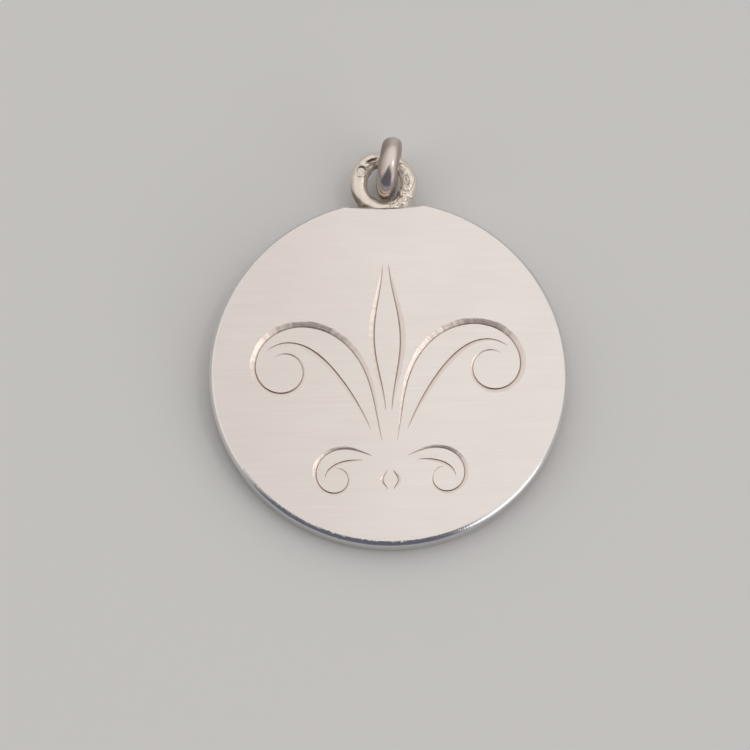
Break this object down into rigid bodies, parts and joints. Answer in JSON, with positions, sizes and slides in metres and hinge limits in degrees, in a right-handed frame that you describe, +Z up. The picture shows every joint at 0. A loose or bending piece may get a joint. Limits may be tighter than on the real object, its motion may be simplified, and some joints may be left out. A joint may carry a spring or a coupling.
{
  "type": "initial pendant",
  "caption": "Engraved round silver pendant: flat disc with a scroll ornament cut in its front, a loop soldered to its edge and a flattened jump ring through the loop.",
  "frame": {"origin": "on the table under the middle of the pendant's box, as it lies with its front up", "axes": "+Z up from the table; +Y along the table from the disc's lower edge towards the loop and the jump ring; +X to the right as the front is seen with the loop at the top"},
  "size_m": [0.025, 0.03, 0.0047],
  "materials": {
    "satin_silver": "satin silver, fine brushed and lightly worn",
    "polished_silver": "polished silver, slightly darkened"
  },
  "bodies": {
    "root": {"disc": "satin_silver", "jump_ring": "polished_silver"}
  },
  "joints": []
}
